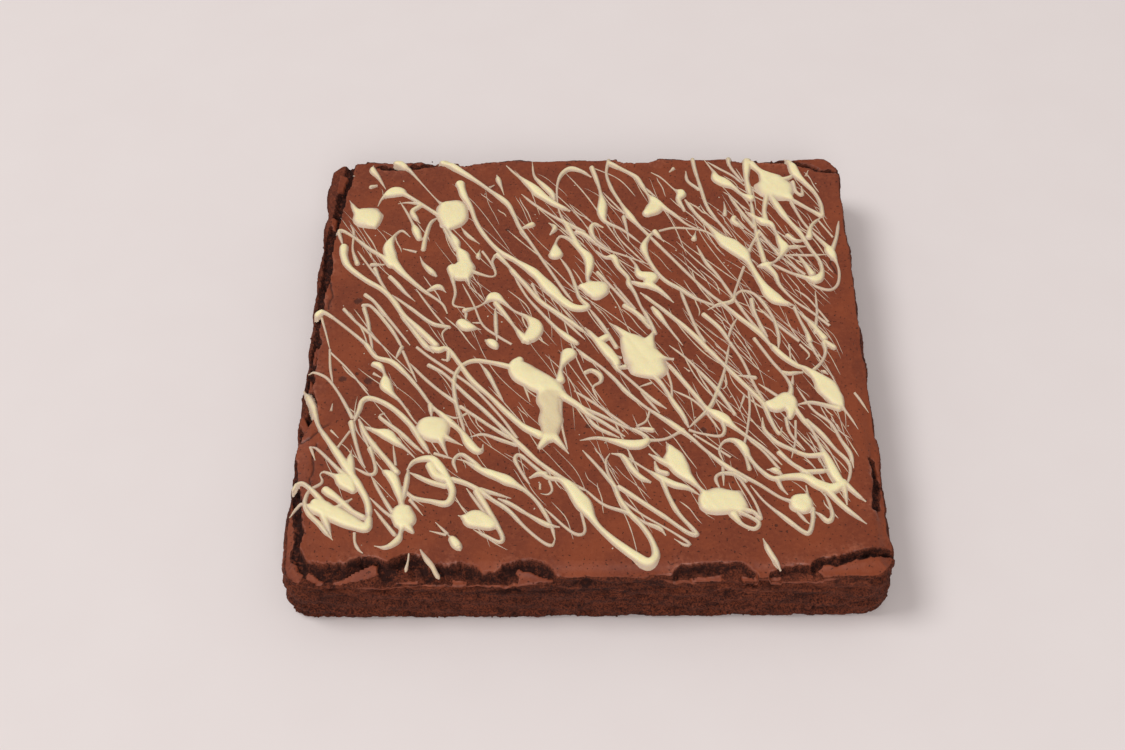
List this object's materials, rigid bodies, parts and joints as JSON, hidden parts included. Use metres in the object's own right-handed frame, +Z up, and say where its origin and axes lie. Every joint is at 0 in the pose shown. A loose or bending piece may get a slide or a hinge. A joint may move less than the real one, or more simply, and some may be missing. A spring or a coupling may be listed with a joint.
{
  "type": "chocolate brownie",
  "caption": "Whole uncut square chocolate brownie with a smooth crust cracked along its rim and a thick white chocolate drizzle.",
  "frame": {"origin": "centre of the flat base", "axes": "+Z up through the crust; -Y towards the side that faces the viewer; +X to the viewer's right"},
  "size_m": [0.206, 0.206, 0.0268],
  "materials": {
    "crust": "satin reddish brown baked crust, darker and matt where it has cracked and on the sides",
    "white_chocolate": "pale cream, softly glossy set white chocolate, greyer and see-through where it is thin"
  },
  "bodies": {
    "root": {"brownie": "crust"}
  },
  "joints": []
}
